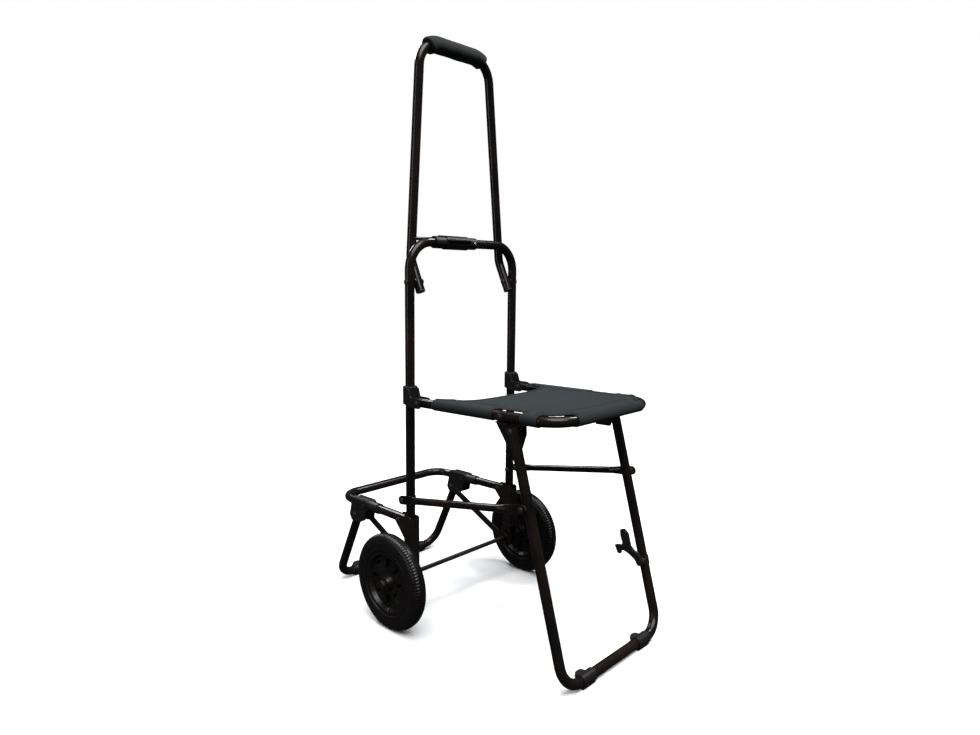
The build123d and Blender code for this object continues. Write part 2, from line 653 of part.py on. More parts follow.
CATCH_ARM = [
    on_catch(-2, 1), on_catch(6, 4), on_catch(15, 13), on_catch(20.5, 21), on_catch(22, 28),
    on_catch(15, 30.5), on_catch(17, 35.5), on_catch(31.5, 38), on_catch(30, 24), on_catch(35, 21.5),
    on_catch(45, 23), on_catch(57, 21), on_catch(57, 14), on_catch(49, 8), on_catch(28, 8),
    on_catch(20, 2.5), on_catch(15, -5), on_catch(3, -8.5),
]
with BuildPart() as catch_lever:
    plate(
        CATCH_X - CATCH_HALF, CATCH_X + CATCH_HALF, CATCH_ARM, 1.2,
        bosses=[(*CATCH_PIVOT, 5.5)],
        holes=[(*CATCH_PIVOT, CATCH_PIN_R + PIVOT_PLAY)],
    )
finish(catch_lever, "catch_lever")

# ---------------------------------------------------------------- seat struts
STRUT_FRONT = on_leg(STRUT_ON_LEG)
STRUT_RUN = hypot(STRUT_FRONT[0] - STRUT_PIVOT[0], STRUT_FRONT[1] - STRUT_PIVOT[1])
FLAT_RUN = 20.0             # flat end, beyond which the tube swells to round
SWELL_RUN = 22.0
for name, side in SIDES:
    strut_plane = Plane(
        origin=place(side * STRUT_X, *STRUT_PIVOT),
        x_dir=(0, STRUT_FRONT[0] - STRUT_PIVOT[0], STRUT_FRONT[1] - STRUT_PIVOT[1]),
        z_dir=(1, 0, 0),
    )
    with BuildPart() as side_strut:
        for at, towards in ((0, 1), (STRUT_RUN, -1)):
            with BuildSketch(strut_plane) as flat:
                with Locations((at, 0)):
                    Circle(STRUT_FLAT_WIDTH / 2)
                with Locations((at + towards * FLAT_RUN / 2, 0)):
                    Rectangle(FLAT_RUN, STRUT_FLAT_WIDTH)
            extrude(flat.sketch, amount=STRUT_FLAT / 2, both=True)
            swell = []
            for step, round_end in ((FLAT_RUN, False), (FLAT_RUN + SWELL_RUN, True)):
                section_plane = Plane(
                    origin=strut_plane.from_local_coords((at + towards * step, 0, 0)),
                    x_dir=strut_plane.y_dir,
                    z_dir=strut_plane.x_dir * towards,
                )
                with BuildSketch(section_plane) as section:
                    if round_end:
                        Circle(STRUT_R)
                    else:
                        RectangleRounded(STRUT_FLAT_WIDTH, STRUT_FLAT, 1.4)
                swell.append(section.sketch)
            loft(swell)
        with BuildLine() as strut_path:
            Line(
                strut_plane.from_local_coords((FLAT_RUN + SWELL_RUN, 0, 0)),
                strut_plane.from_local_coords((STRUT_RUN - FLAT_RUN - SWELL_RUN, 0, 0)),
            )
        sweep_ring(strut_path.wire(), STRUT_R, 0)
        for spot in (STRUT_PIVOT, STRUT_FRONT):
            rod_x(
                side * (STRUT_X - STRUT_FLAT), side * (STRUT_X + STRUT_FLAT), spot,
                PIN_R + PIVOT_PLAY, mode=Mode.SUBTRACT,
            )
    finish(side_strut, f"side_strut_{name}")

    # The front rivet turns with the strut; its spacer stops short of the leg.
    with BuildPart() as strut_front_rivet:
        rivet(
            side * (STRUT_X + STRUT_FLAT / 2 + FIT),
            side * (STRUT_X - STRUT_FLAT / 2 - FIT),
            STRUT_FRONT,
            shank=PIN_R + PIVOT_PLAY - 0.02,
        )
        rod_x(
            side * (STRUT_X - STRUT_FLAT / 2 - FIT),
            side * (LEG_TOP_X + TUBE_R + 0.5),
            STRUT_FRONT,
            RIVET_HEAD_R,
        )
    finish(strut_front_rivet, f"strut_front_rivet_{name}")

# ---------------------------------------------------------------- rear platform
PLATFORM_TAIL = 10.0        # tube ahead of the pivot pin
PLATFORM_DROP = (PLATFORM_REAR[1] - PLATFORM_PIVOT[1]) / (PLATFORM_REAR[0] - PLATFORM_PIVOT[0])


def on_arm(side, y):
    """A point on the centre line of a platform arm, y behind the upright."""
    share = (y - PLATFORM_PIVOT[0]) / (PLATFORM_REAR[0] - PLATFORM_PIVOT[0])
    x = UPRIGHT_X + (PLATFORM_REAR_X - UPRIGHT_X) * share
    return place(side * x, y, PLATFORM_PIVOT[1] + PLATFORM_DROP * (y - PLATFORM_PIVOT[0]))


with BuildPart() as platform_frame:
    arm_tip = PLATFORM_PIVOT[0] - PLATFORM_TAIL
    tube(
        [on_arm(-1, arm_tip), on_arm(-1, PLATFORM_REAR[0]), on_arm(1, PLATFORM_REAR[0]),
         on_arm(1, arm_tip)],
        PLATFORM_BEND_R,
    )
    reach = UPRIGHT_X + TUBE_R + 1
    rod_x(-reach, reach, PLATFORM_PIVOT, PIN_R + PIVOT_PLAY, mode=Mode.SUBTRACT)
finish(platform_frame, "platform_frame")

# Moulded blocks under the arms: a sleeve towards the pivot, and a fork for the stand.
BLOCK_FROM = 113.0
BLOCK_TO = 161.0
FLANGE_FROM = 88.0
BLOCK_HALF = 11.4
STAND_FORK = TUBE_R + 0.4
FORK_TOP = 167.5
BLOCK_RIVET_Y = 124.0
BLOCK_RIVET = (BLOCK_RIVET_Y, PLATFORM_PIVOT[1] + PLATFORM_DROP * (BLOCK_RIVET_Y - PLATFORM_PIVOT[0]))
BLOCK_RIVET_R = 2.5
for name, side in SIDES:
    with BuildPart() as stand_block:
        with BuildLine() as arm_line:
            Line(on_arm(side, FLANGE_FROM), on_arm(side, BLOCK_TO))
        sweep_ring(arm_line.wire(), TUBE_R + 1.7, 0)
        plate(
            side * (STAND_X - BLOCK_HALF), side * (STAND_X + BLOCK_HALF),
            [(BLOCK_FROM, FORK_TOP), (BLOCK_FROM, 186), (BLOCK_TO, 185.5), (BLOCK_TO, FORK_TOP)],
            3.0,
        )
        for near in (STAND_X - BLOCK_HALF, STAND_X + STAND_FORK):
            plate(
                side * near, side * (near + BLOCK_HALF - STAND_FORK),
                [(BLOCK_FROM + 3, FORK_TOP + 4), (BLOCK_FROM + 7, 150), (136, 142.5), (160, 142), (166, 152),
                 (BLOCK_TO, FORK_TOP + 4)],
                2.5,
                holes=[(*STAND_PIVOT, PIN_R + FIT)],
            )
        with BuildLine() as arm_line:
            Line(on_arm(side, FLANGE_FROM - 5), on_arm(side, BLOCK_TO + 8))
        sweep_ring(arm_line.wire(), TUBE_R + FIT, 0, mode=Mode.SUBTRACT)
        rod_x(side * 100, side * 150, BLOCK_RIVET, BLOCK_RIVET_R + FIT, mode=Mode.SUBTRACT)
    finish(stand_block, f"stand_block_{name}")

with BuildPart() as stand_block_rivets:
    for side in (-1, 1):
        for outward in (-1, 1):
            wall = STAND_X + outward * (BLOCK_HALF + FIT)
            rod_x(side * (wall - outward * 2.4), side * wall, BLOCK_RIVET, BLOCK_RIVET_R)
            rod_x(side * wall, side * (wall + outward * 1.4), BLOCK_RIVET, 1.7 * BLOCK_RIVET_R)
finish(stand_block_rivets, "stand_block_rivets")

with BuildPart() as stand_pivot_pins:
    for side in (-1, 1):
        rivet(
            side * (BRACE_X - BRACE_THICK / 2 - 0.3), side * (STAND_X + BLOCK_HALF + FIT), STAND_PIVOT,
        )
finish(stand_pivot_pins, "stand_pivot_pins")

# ---------------------------------------------------------------- rear stand
STAND_LENGTH = hypot(STAND_FOOT[0] - STAND_PIVOT[0], STAND_FOOT[1] - STAND_PIVOT[1])
STAND_DIR = (
    (STAND_FOOT[0] - STAND_PIVOT[0]) / STAND_LENGTH,
    (STAND_FOOT[1] - STAND_PIVOT[1]) / STAND_LENGTH,
)
STAND_TAIL = 6.0
STAND_TIP = (STAND_PIVOT[0] - STAND_DIR[0] * STAND_TAIL, STAND_PIVOT[1] - STAND_DIR[1] * STAND_TAIL)
with BuildPart() as stand_frame:
    tube(
        [place(-STAND_X, *STAND_TIP), place(-STAND_X, *STAND_FOOT), place(STAND_X, *STAND_FOOT),
         place(STAND_X, *STAND_TIP)],
        STAND_BEND_R,
    )
    reach = STAND_X + TUBE_R + 1
    rod_x(-reach, reach, STAND_PIVOT, PIN_R + PIVOT_PLAY, mode=Mode.SUBTRACT)
finish(stand_frame, "stand_frame")

for name, side in SIDES:
    with BuildPart() as stand_foot:
        foot(side, STAND_FOOT, 24)
    finish(stand_foot, f"stand_foot_{name}")

# ---------------------------------------------------------------- braces
BRACE_RUN = hypot(STAND_PIVOT[0], STAND_PIVOT[1] - AXLE_Z)
FORK_HALF = 10.0
MOUTH = AXLE_R + 0.7
for name, side in SIDES:
    brace_plane = Plane(
        origin=place(side * BRACE_X, 0, AXLE_Z),
        x_dir=(0, STAND_PIVOT[0], STAND_PIVOT[1] - AXLE_Z),
        z_dir=(1, 0, 0),
    )
    with BuildPart() as brace:
        with BuildSketch(brace_plane) as bar:
            with Locations((BRACE_RUN / 2 + 2, 0)):
                Rectangle(BRACE_RUN - 4, BRACE_WIDTH)
            with Locations((BRACE_RUN, 0)):
                Circle(BRACE_WIDTH / 2)
            with Locations((3, 0)):
                RectangleRounded(20, 2 * FORK_HALF, 5)
            Circle(MOUTH, mode=Mode.SUBTRACT)
            with Locations((-10, 0)):
                Rectangle(20, 2 * MOUTH, mode=Mode.SUBTRACT)
            with Locations((BRACE_RUN, 0)):
                Circle(PIN_R + PIVOT_PLAY, mode=Mode.SUBTRACT)
        extrude(bar.sketch, amount=BRACE_THICK / 2, both=True)
    finish(brace, f"brace_{name}")

# ---------------------------------------------------------------- wheels
for name, side in SIDES:
    wheel_axis = Axis(place(0, 0, AXLE_Z), (1, 0, 0))
    wheel_section = Plane(origin=place(side * WHEEL_X, 0, AXLE_Z), x_dir=(1, 0, 0), z_dir=(0, -1, 0))
    with BuildPart() as tyre:
        with BuildSketch(wheel_section) as rubber:
            with BuildLine():
                Polyline((-10, RIM_R), (-12.6, 60), (-TYRE_HALF_WIDTH, 68))
                ThreePointArc((-TYRE_HALF_WIDTH, 68), (-11.6, 76.5), (-6, 81.4))
                ThreePointArc((-6, 81.4), (0, WHEEL_R), (6, 81.4))
                ThreePointArc((6, 81.4), (11.6, 76.5), (TYRE_HALF_WIDTH, 68))
                Polyline((TYRE_HALF_WIDTH, 68), (12.6, 60), (10, RIM_R), (-10, RIM_R))
            make_face()
        revolve(rubber.sketch, axis=wheel_axis)
    finish(tyre, f"tyre_{name}")

    with BuildPart() as wheel_hub:
        with BuildSketch(wheel_section) as moulding:
            with BuildLine():
                Polyline(
                    (-HUB_HALF_WIDTH, BUSH_R + FIT), (-HUB_HALF_WIDTH, 11), (-WEB_HALF - 1, 14),
                    (-WEB_HALF, 45), (-11, RIM_INNER), (-11, RIM_R - FIT), (11, RIM_R - FIT),
                    (11, RIM_INNER), (WEB_HALF, 45), (WEB_HALF + 1, 14), (HUB_HALF_WIDTH, 11),
                    (HUB_HALF_WIDTH, BUSH_R + FIT), close=True,
                )
            make_face()
        revolve(moulding.sketch, axis=wheel_axis)
        for face in (-1, 1):
            with BuildSketch(side_plane(side * WHEEL_X + face * POCKET_FLOOR)) as pockets:
                with Locations((0, AXLE_Z)):
                    with PolarLocations(POCKET_AT, POCKET_COUNT):
                        Rectangle(POCKET_LENGTH, POCKET_WIDTH)
                fillet(pockets.vertices(), 4.0)
            extrude(pockets.sketch, amount=face * 2 * WEB_HALF, mode=Mode.SUBTRACT)
    finish(wheel_hub, f"wheel_hub_{name}")

    with BuildPart() as hub_bush:
        ring_x(
            side * (WHEEL_X - HUB_HALF_WIDTH),
            side * (WHEEL_X + HUB_HALF_WIDTH),
            (0, AXLE_Z),
            BUSH_R,
            AXLE_R + WHEEL_PLAY,
        )
    finish(hub_bush, f"hub_bush_{name}")
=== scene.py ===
"""Looks of the folding game cart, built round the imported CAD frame. Metres, +Z up, seat towards -Y."""
import json
from math import asin, atan2, ceil, cos, hypot, pi, radians, sin, tan

import bmesh
import bpy
from mathutils import Matrix, Vector, noise


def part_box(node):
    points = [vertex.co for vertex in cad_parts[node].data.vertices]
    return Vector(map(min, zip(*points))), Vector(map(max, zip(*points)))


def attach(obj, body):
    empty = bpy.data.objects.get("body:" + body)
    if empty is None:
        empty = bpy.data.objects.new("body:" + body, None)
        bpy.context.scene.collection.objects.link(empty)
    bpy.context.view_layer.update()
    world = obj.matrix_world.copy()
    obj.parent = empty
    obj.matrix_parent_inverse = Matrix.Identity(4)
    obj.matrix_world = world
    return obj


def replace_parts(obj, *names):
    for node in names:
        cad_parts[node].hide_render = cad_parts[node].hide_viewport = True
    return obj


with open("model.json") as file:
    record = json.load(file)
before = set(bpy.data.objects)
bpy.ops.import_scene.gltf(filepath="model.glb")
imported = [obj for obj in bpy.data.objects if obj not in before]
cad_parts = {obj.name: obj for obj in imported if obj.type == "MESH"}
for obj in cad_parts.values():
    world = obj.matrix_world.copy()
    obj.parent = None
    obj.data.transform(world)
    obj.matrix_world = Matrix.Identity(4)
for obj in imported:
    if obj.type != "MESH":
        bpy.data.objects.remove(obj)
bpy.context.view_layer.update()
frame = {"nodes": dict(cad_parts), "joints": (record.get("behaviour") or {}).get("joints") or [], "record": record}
NODES = frame["nodes"]
JOINTS = {joint["name"]: joint for joint in frame["joints"]}
MM = 0.001
TINY = 1e-6
WELD = 1e-5
SIDES = ("left", "right")

# ---------------------------------------------------------------- places taken from the frame
TUBE_R = 8 * MM
UPRIGHT_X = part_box("upright_posts")[1].x - TUBE_R
HINGE = Vector(JOINTS["seat_fold"]["pos_m"])
SEAT_LOW, SEAT_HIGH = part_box("seat_frame")
SEAT_FRONT = Vector((0, SEAT_LOW.y + TUBE_R, SEAT_HIGH.z - TUBE_R))
FORWARD = (SEAT_FRONT - HINGE).normalized()
SEAT_LENGTH = (SEAT_FRONT - HINGE).length
SEAT_UP = Vector((1, 0, 0)).cross(-FORWARD)
SEAT_FRONT_X = 123 * MM      # half width between the side tubes' centre lines at the front
AXLE = Vector((0, *JOINTS["wheel_left_spin"]["pos_m"][1:]))


# ---------------------------------------------------------------- mesh helpers
def add_object(name, mesh, body, material):
    """Link a finished mesh, smooth it and let it ride on its body."""
    obj = bpy.data.objects.new(name, mesh)
    bpy.context.scene.collection.objects.link(obj)
    obj.data.materials.append(material)
    obj.data.shade_smooth()
    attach(obj, body)
    return obj


def mesh_of(name, bm):
    """A mesh from a bmesh, with its faces turned outwards."""
    bmesh.ops.recalc_face_normals(bm, faces=bm.faces)
    mesh = bpy.data.meshes.new(name)
    bm.to_mesh(mesh)
    bm.free()
    return mesh


def skin(bm, loops, closed=False):
    """Bridge closed loops of equal length; the ends are capped, or joined where closed is set."""
    rings = [[bm.verts.new(point) for point in loop] for loop in loops]
    pairs = list(zip(rings, rings[1:]))
    if closed:
        pairs.append((rings[-1], rings[0]))
    for first, second in pairs:
        for i in range(len(first)):
            j = (i + 1) % len(first)
            bm.faces.new((first[i], first[j], second[j], second[i]))
    if not closed:
        bm.faces.new(rings[0])
        bm.faces.new(rings[-1])


def ring(centre, across, up, radius, count):
    """Points of a circle round centre, in the plane of two unit vectors."""
    return [centre + (across * cos(2 * pi * i / count) + up * sin(2 * pi * i / count)) * radius
            for i in range(count)]


def subdivide(obj):
    """Add one level of a subdivision surface."""
    modifier = obj.modifiers.new("subdivision", "SUBSURF")
    modifier.levels = 1
    modifier.render_levels = 1


# ---------------------------------------------------------------- material helpers
class Paint:
    """A node material: a Principled shader, and short calls for the nodes that feed it."""

    def __init__(self, name, roughness=0.5, metallic=0.0, **sockets):
        self.material = bpy.data.materials.new(name)
        self.material.use_nodes = True
        self.tree = self.material.node_tree
        self.shader = self.tree.nodes["Principled BSDF"]
        self.shader.inputs["Roughness"].default_value = roughness
        self.shader.inputs["Metallic"].default_value = metallic
        for socket, value in sockets.items():
            self.shader.inputs[socket.replace("_", " ")].default_value = value
        self.place = self.tree.nodes.new("ShaderNodeTexCoord").outputs["Object"]

    def link(self, value, socket):
        """Feed a socket from another socket, or set it to a constant."""
        if isinstance(value, bpy.types.NodeSocket):
            self.tree.links.new(value, socket)
        else:
            socket.default_value = value

    def noise(self, scale, detail=3.0, roughness=0.55, distortion=0.0, place=None):
        """Soft noise of a scale per metre, from 0 to 1."""
        node = self.tree.nodes.new("ShaderNodeTexNoise")
        node.inputs["Scale"].default_value = scale
        node.inputs["Detail"].default_value = detail
        node.inputs["Roughness"].default_value = roughness
        node.inputs["Distortion"].default_value = distortion
        self.link(place or self.place, node.inputs["Vector"])
        return node.outputs["Fac"]

    def cells(self, scale):
        """Distance to the nearest cell point, of a scale per metre."""
        node = self.tree.nodes.new("ShaderNodeTexVoronoi")
        node.inputs["Scale"].default_value = scale
        self.link(self.place, node.inputs["Vector"])
        return node.outputs["Distance"]

    def stretched(self, x, y, z):
        """The object's coordinates, scaled along each axis."""
        node = self.tree.nodes.new("ShaderNodeMapping")
        node.inputs["Scale"].default_value = (x, y, z)
        self.link(self.place, node.inputs["Vector"])
        return node.outputs["Vector"]

    def math(self, operation, first, second=0.0):
        node = self.tree.nodes.new("ShaderNodeMath")
        node.operation = operation
        self.link(first, node.inputs[0])
        self.link(second, node.inputs[1])
        return node.outputs["Value"]

    def spread(self, value, low, high, into_low, into_high):
        """Map a value's range onto another, held at the ends."""
        node = self.tree.nodes.new("ShaderNodeMapRange")
        for name, number in (("From Min", low), ("From Max", high), ("To Min", into_low),
                             ("To Max", into_high)):
            node.inputs[name].default_value = number
        self.link(value, node.inputs["Value"])
        return node.outputs["Result"]

    def blend(self, factor, first, second):
        """Mix two colours, each a socket or an RGB tuple."""
        node = self.tree.nodes.new("ShaderNodeMix")
        node.data_type = "RGBA"
        self.link(factor, node.inputs["Factor"])
        for value, socket in ((first, node.inputs["A"]), (second, node.inputs["B"])):
            self.link((*value, 1) if isinstance(value, tuple) else value, socket)
        return node.outputs["Result"]

    def axes(self):
        """The object's X and Y coordinates."""
        node = self.tree.nodes.new("ShaderNodeSeparateXYZ")
        self.link(self.place, node.inputs["Vector"])
        return node.outputs["X"], node.outputs["Y"]

    def colour(self, value):
        self.link(value, self.shader.inputs["Base Color"])

    def rough(self, value):
        self.link(value, self.shader.inputs["Roughness"])

    def bump(self, height, strength, depth, onto=None):
        """Raise the surface by a height, on top of an earlier bump if one is given."""
        node = self.tree.nodes.new("ShaderNodeBump")
        node.inputs["Strength"].default_value = strength
        node.inputs["Distance"].default_value = depth
        self.link(height, node.inputs["Height"])
        if onto is not None:
            self.link(onto, node.inputs["Normal"])
        self.link(node.outputs["Normal"], self.shader.inputs["Normal"])
        return node.outputs["Normal"]


def tube_paint():
    """Gloss black powder coat: orange peel, faint brown clouding, fine dust and rub marks."""
    paint = Paint("tube_paint", Specular_IOR_Level=0.24)
    clouds = paint.noise(14, detail=4)
    dust = paint.spread(paint.noise(900, detail=2, roughness=0.7), 0.68, 0.80, 0.0, 0.18)
    black, brown = (0.0045, 0.0040, 0.0040), (0.0125, 0.0078, 0.0062)
    tone = paint.blend(paint.spread(clouds, 0.38, 0.66, 0, 1), black, brown)
    paint.colour(paint.blend(dust, tone, (0.045, 0.042, 0.038)))
    rubs = paint.noise(60, detail=6, roughness=0.7, place=paint.stretched(1, 1, 0.22))
    paint.rough(paint.spread(rubs, 0.35, 0.75, 0.14, 0.28))
    peel = paint.bump(paint.noise(420, detail=2), 0.025, 0.0006)
    paint.bump(paint.noise(2400, detail=2), 0.02, 0.0002, onto=peel)
    return paint.material


def sheet_paint():
    """Satin black on pressed steel sheet, thinner at rubbed spots."""
    paint = Paint("sheet_paint", Specular_IOR_Level=0.25)
    rubbed = paint.spread(paint.noise(75, detail=7, roughness=0.72), 0.60, 0.74, 0, 1)
    black = paint.blend(paint.noise(22, detail=3), (0.0060, 0.0052, 0.0050), (0.0145, 0.0105, 0.0085))
    paint.colour(paint.blend(paint.math("MULTIPLY", rubbed, 0.25), black, (0.055, 0.050, 0.045)))
    paint.rough(paint.spread(paint.noise(180, detail=4), 0.3, 0.7, 0.30, 0.50))
    paint.bump(paint.noise(700, detail=3), 0.12, 0.0004)
    return paint.material


def moulded(name, low, high, grain, gloss):
    """Black moulded plastic: spark-eroded grain, slight flow clouding and scuffs."""
    paint = Paint(name, Specular_IOR_Level=0.25)
    clouds = paint.noise(30, detail=3, distortion=0.6)
    scuffs = paint.spread(paint.noise(150, detail=7, roughness=0.75), 0.62, 0.76, 0, 0.35)
    paint.colour(paint.blend(scuffs, paint.blend(clouds, low, high), (0.035, 0.033, 0.031)))
    paint.rough(paint.spread(paint.noise(260, detail=5), 0.3, 0.7, gloss - 0.09, gloss + 0.10))
    fine = paint.bump(paint.noise(2600, detail=2), grain, 0.0003)
    paint.bump(clouds, 0.08, 0.001, onto=fine)
    return paint.material


def foam():
    """Closed cell foam of the grip: pores with painted shade in them, a dark green-black, and lighter rubbed
    patches.
    """
    paint = Paint("grip_foam", Sheen_Weight=0.08, Sheen_Roughness=0.6, Specular_IOR_Level=0.14)
    pores = paint.cells(1100)
    patches = paint.noise(55, detail=5, roughness=0.65)
    deep, rubbed = (0.0038, 0.0060, 0.0052), (0.0088, 0.0130, 0.0112)
    tone = paint.blend(paint.spread(patches, 0.3, 0.7, 0, 1), deep, rubbed)
    # painted shade: the colour darkens towards the middle of each pore, where the bump sinks the surface
    paint.colour(paint.blend(paint.spread(pores, 0.0, 0.42, 0.55, 0.0), tone, (0.003, 0.004, 0.0035)))
    paint.rough(paint.spread(patches, 0.3, 0.7, 0.72, 0.92))
    coarse = paint.bump(paint.noise(190, detail=4), 0.28, 0.0012)
    paint.bump(pores, 0.5, 0.0006, onto=coarse)
    return paint.material


THREAD_PITCH = 0.85 * MM


def cloth(name, lift):
    """Plain weave polyester: over-and-under threads with painted shade in the weave's hollows, slubs and a faint
    blue-green cast, lightened by lift.
    """
    paint = Paint(name, Sheen_Weight=0.06, Sheen_Roughness=0.45, Specular_IOR_Level=0.12)

    def tint(*colour):
        return tuple(channel * lift for channel in colour)

    x, y = paint.axes()
    turn = 2 * pi / THREAD_PITCH
    wander = paint.math("MULTIPLY", paint.noise(45, detail=2), 1.6)
    warp = paint.math("SINE", paint.math("ADD", paint.math("MULTIPLY", x, turn / 2), wander))
    weft = paint.math("SINE", paint.math("ADD", paint.math("MULTIPLY", y, turn / 2), wander))
    over = paint.math("MULTIPLY", warp, weft)
    threads = paint.spread(over, -1, 1, 0, 1)
    slubs = paint.noise(240, detail=5, roughness=0.7, place=paint.stretched(1, 0.12, 1))
    fade = paint.noise(9, detail=4, distortion=0.4)
    # painted shade: the colour darkens where the weave lies low, between the threads
    weave_hollow_shade = paint.blend(slubs, tint(0.0046, 0.0064, 0.0073), tint(0.0075, 0.0102, 0.0113))
    light = paint.blend(fade, tint(0.0126, 0.0172, 0.0188), tint(0.0202, 0.0263, 0.0284))
    paint.colour(paint.blend(threads, weave_hollow_shade, light))
    paint.rough(paint.spread(slubs, 0.3, 0.7, 0.74, 0.90))
    wide = paint.bump(fade, 0.15, 0.004)
    paint.bump(threads, 0.55, 0.0003, onto=wide)
    return paint.material


def tyre_rubber():
    """Solid black rubber with a shine on the side wall and grey dust in the tread."""
    paint = Paint("tyre_rubber", Specular_IOR_Level=0.28)
    dust = paint.spread(paint.noise(38, detail=7, roughness=0.7), 0.52, 0.72, 0.0, 0.55)
    tone = paint.blend(paint.noise(16, detail=3), (0.0034, 0.0030, 0.0029), (0.0070, 0.0056, 0.0048))
    paint.colour(paint.blend(dust, tone, (0.0135, 0.0112, 0.0090)))
    paint.rough(paint.spread(paint.noise(95, detail=5), 0.3, 0.7, 0.22, 0.42))
    wide = paint.bump(paint.noise(120, detail=3), 0.12, 0.001)
    paint.bump(paint.noise(1900, detail=3), 0.12, 0.0003, onto=wide)
    return paint.material


def steel():
    """Zinc plated steel, brushed and slightly dulled."""
    paint = Paint("steel", metallic=1.0)
    dull = paint.noise(320, detail=5, roughness=0.65)
    paint.colour(paint.blend(dull, (0.42, 0.40, 0.37), (0.66, 0.64, 0.60)))
    paint.rough(paint.spread(dull, 0.3, 0.7, 0.24, 0.42))
    paint.bump(paint.noise(1500, detail=2, place=paint.stretched(0.1, 1, 1)), 0.15, 0.0002)
    return paint.material


def dark_rivet():
    """A painted rivet head, with steel showing through where it is rubbed."""
    paint = Paint("dark_rivet", Specular_IOR_Level=0.3)
    worn = paint.spread(paint.noise(420, detail=6, roughness=0.7), 0.60, 0.68, 0, 1)
    paint.colour(paint.blend(worn, (0.016, 0.014, 0.013), (0.30, 0.28, 0.25)))
    paint.rough(paint.spread(paint.noise(600, detail=3), 0.3, 0.7, 0.22, 0.40))
    paint.link(paint.math("MULTIPLY", worn, 0.9), paint.shader.inputs["Metallic"])
    paint.bump(paint.noise(900, detail=3), 0.12, 0.0003)
    return paint.material


TUBE_PAINT = tube_paint()
SHEET_PAINT = sheet_paint()
MOULDED = moulded("moulded_black", (0.0055, 0.0053, 0.0055), (0.0115, 0.0105, 0.0100), 0.22, 0.40)
HUB_PLASTIC = moulded("hub_plastic", (0.0040, 0.0036, 0.0034), (0.0088, 0.0074, 0.0064), 0.12, 0.26)
FOAM = foam()
CLOTH = cloth("seat_cloth", lift=1.0)
BINDING = cloth("seat_binding", lift=0.62)
TYRE = tyre_rubber()
STEEL = steel()
RIVET = dark_rivet()

SLOT_MATERIAL = {
    "frame_paint": TUBE_PAINT,
    "sheet_paint": SHEET_PAINT,
    "moulded_black": MOULDED,
    "hub_plastic": HUB_PLASTIC,
    "grip_foam": FOAM,
    "seat_cloth": CLOTH,
    "tyre": TYRE,
    "steel": STEEL,
}
PAINTED_RIVETS = (
    "seat_hinge_pins",
    "handle_pivot_bolts",
    "stand_block_rivets",
    "stand_pivot_pins",
    "leg_pivot_pins",
    "leg_bracket_rivets",
    "platform_pivot_pins",
    "strut_rear_rivets",
    "strut_front_rivet_left",
    "strut_front_rivet_right",
)
SMOOTH_BELOW = radians(32)


def dress_cad_nodes():
    """Give each CAD node its material, and smooth its shading over shallow edges."""
    for part in frame["record"]["subparts"]:
        node = NODES[part["node"]]
        material = RIVET if part["node"] in PAINTED_RIVETS else SLOT_MATERIAL[part["material_slot"]]
        node.data.materials.clear()
        node.data.materials.append(material)
        node.data.shade_smooth()
        node.data.set_sharp_from_angle(angle=SMOOTH_BELOW)


# ---------------------------------------------------------------- sling seat
CLOTH_THICK = 1.1 * MM
CLOTH_R = TUBE_R + 0.7 * MM            # the cloth's middle surface round a tube
SLEEVE_SPANS = ((33 * MM, 164 * MM), (219 * MM, 250 * MM))   # along the side tubes, from the hinge
FRONT_SLEEVE_X = 86 * MM
SEAT_BEND_R = 46 * MM
FRONT_EDGE_R = 41 * MM                 # the sheet's edge inside the front bends
NOTCH_X = 116 * MM                     # the sheet's edge beside the leg brackets
REAR_MIDDLE = 80 * MM                  # hollow rear edge, at its middle
REAR_SIDE = SLEEVE_SPANS[0][0]
REAR_POWER = 6
REAR_STEPS = 26
NOTCH_ROUND = ((2 * MM, 3 * MM), (0.0, 7 * MM))   # the notch's corners, from its side and its end
FRONT_EDGE_FROM = radians(15)
FRONT_EDGE_TURN = radians(64)
FRONT_EDGE_STEPS = 8
SAG = 3.4 * MM
FRONT_SAG = 0.55                       # share of the sag that is left at the front
FRONT_PULL = 60 * MM                   # the sheet is drawn flat over this length at the front
PULL_CORNERS = ((NOTCH_X, 166 * MM), (NOTCH_X, 216 * MM), (105 * MM, 268 * MM))
FOLD_HEIGHT = 0.7 * MM
FOLDS_ROUND = 5
FOLD_RISE = 18 * MM
FOLD_REACH = 75 * MM
RIPPLE_HEIGHT = 0.35 * MM
FLAP_IN = 21 * MM                      # where the sleeve's flap meets the sheet, in from the tube
FLAP_END = 29 * MM
FLAP_BELOW = CLOTH_THICK + 0.35 * MM   # the flap lies so far under the sheet
SHEET_MIDDLE = Vector((0.0, 175 * MM))
CELL = 4 * MM


def half_width(forward):
    """Half width between the side tubes' centre lines."""
    return UPRIGHT_X + (SEAT_FRONT_X - UPRIGHT_X) * forward / SEAT_LENGTH


def on_seat(x, forward, up=0.0):
    """A point across the seat, forward of the hinge and above the plane of the tubes."""
    return Vector((x, 0, 0)) + Vector((0, HINGE.y, HINGE.z)) + FORWARD * forward + SEAT_UP * up


def rear_edge(x):
    """How far forward of the hinge the rear edge lies."""
    share = min(1.0, abs(x) / half_width(REAR_SIDE))
    return REAR_MIDDLE - (REAR_MIDDLE - REAR_SIDE) * share**REAR_POWER


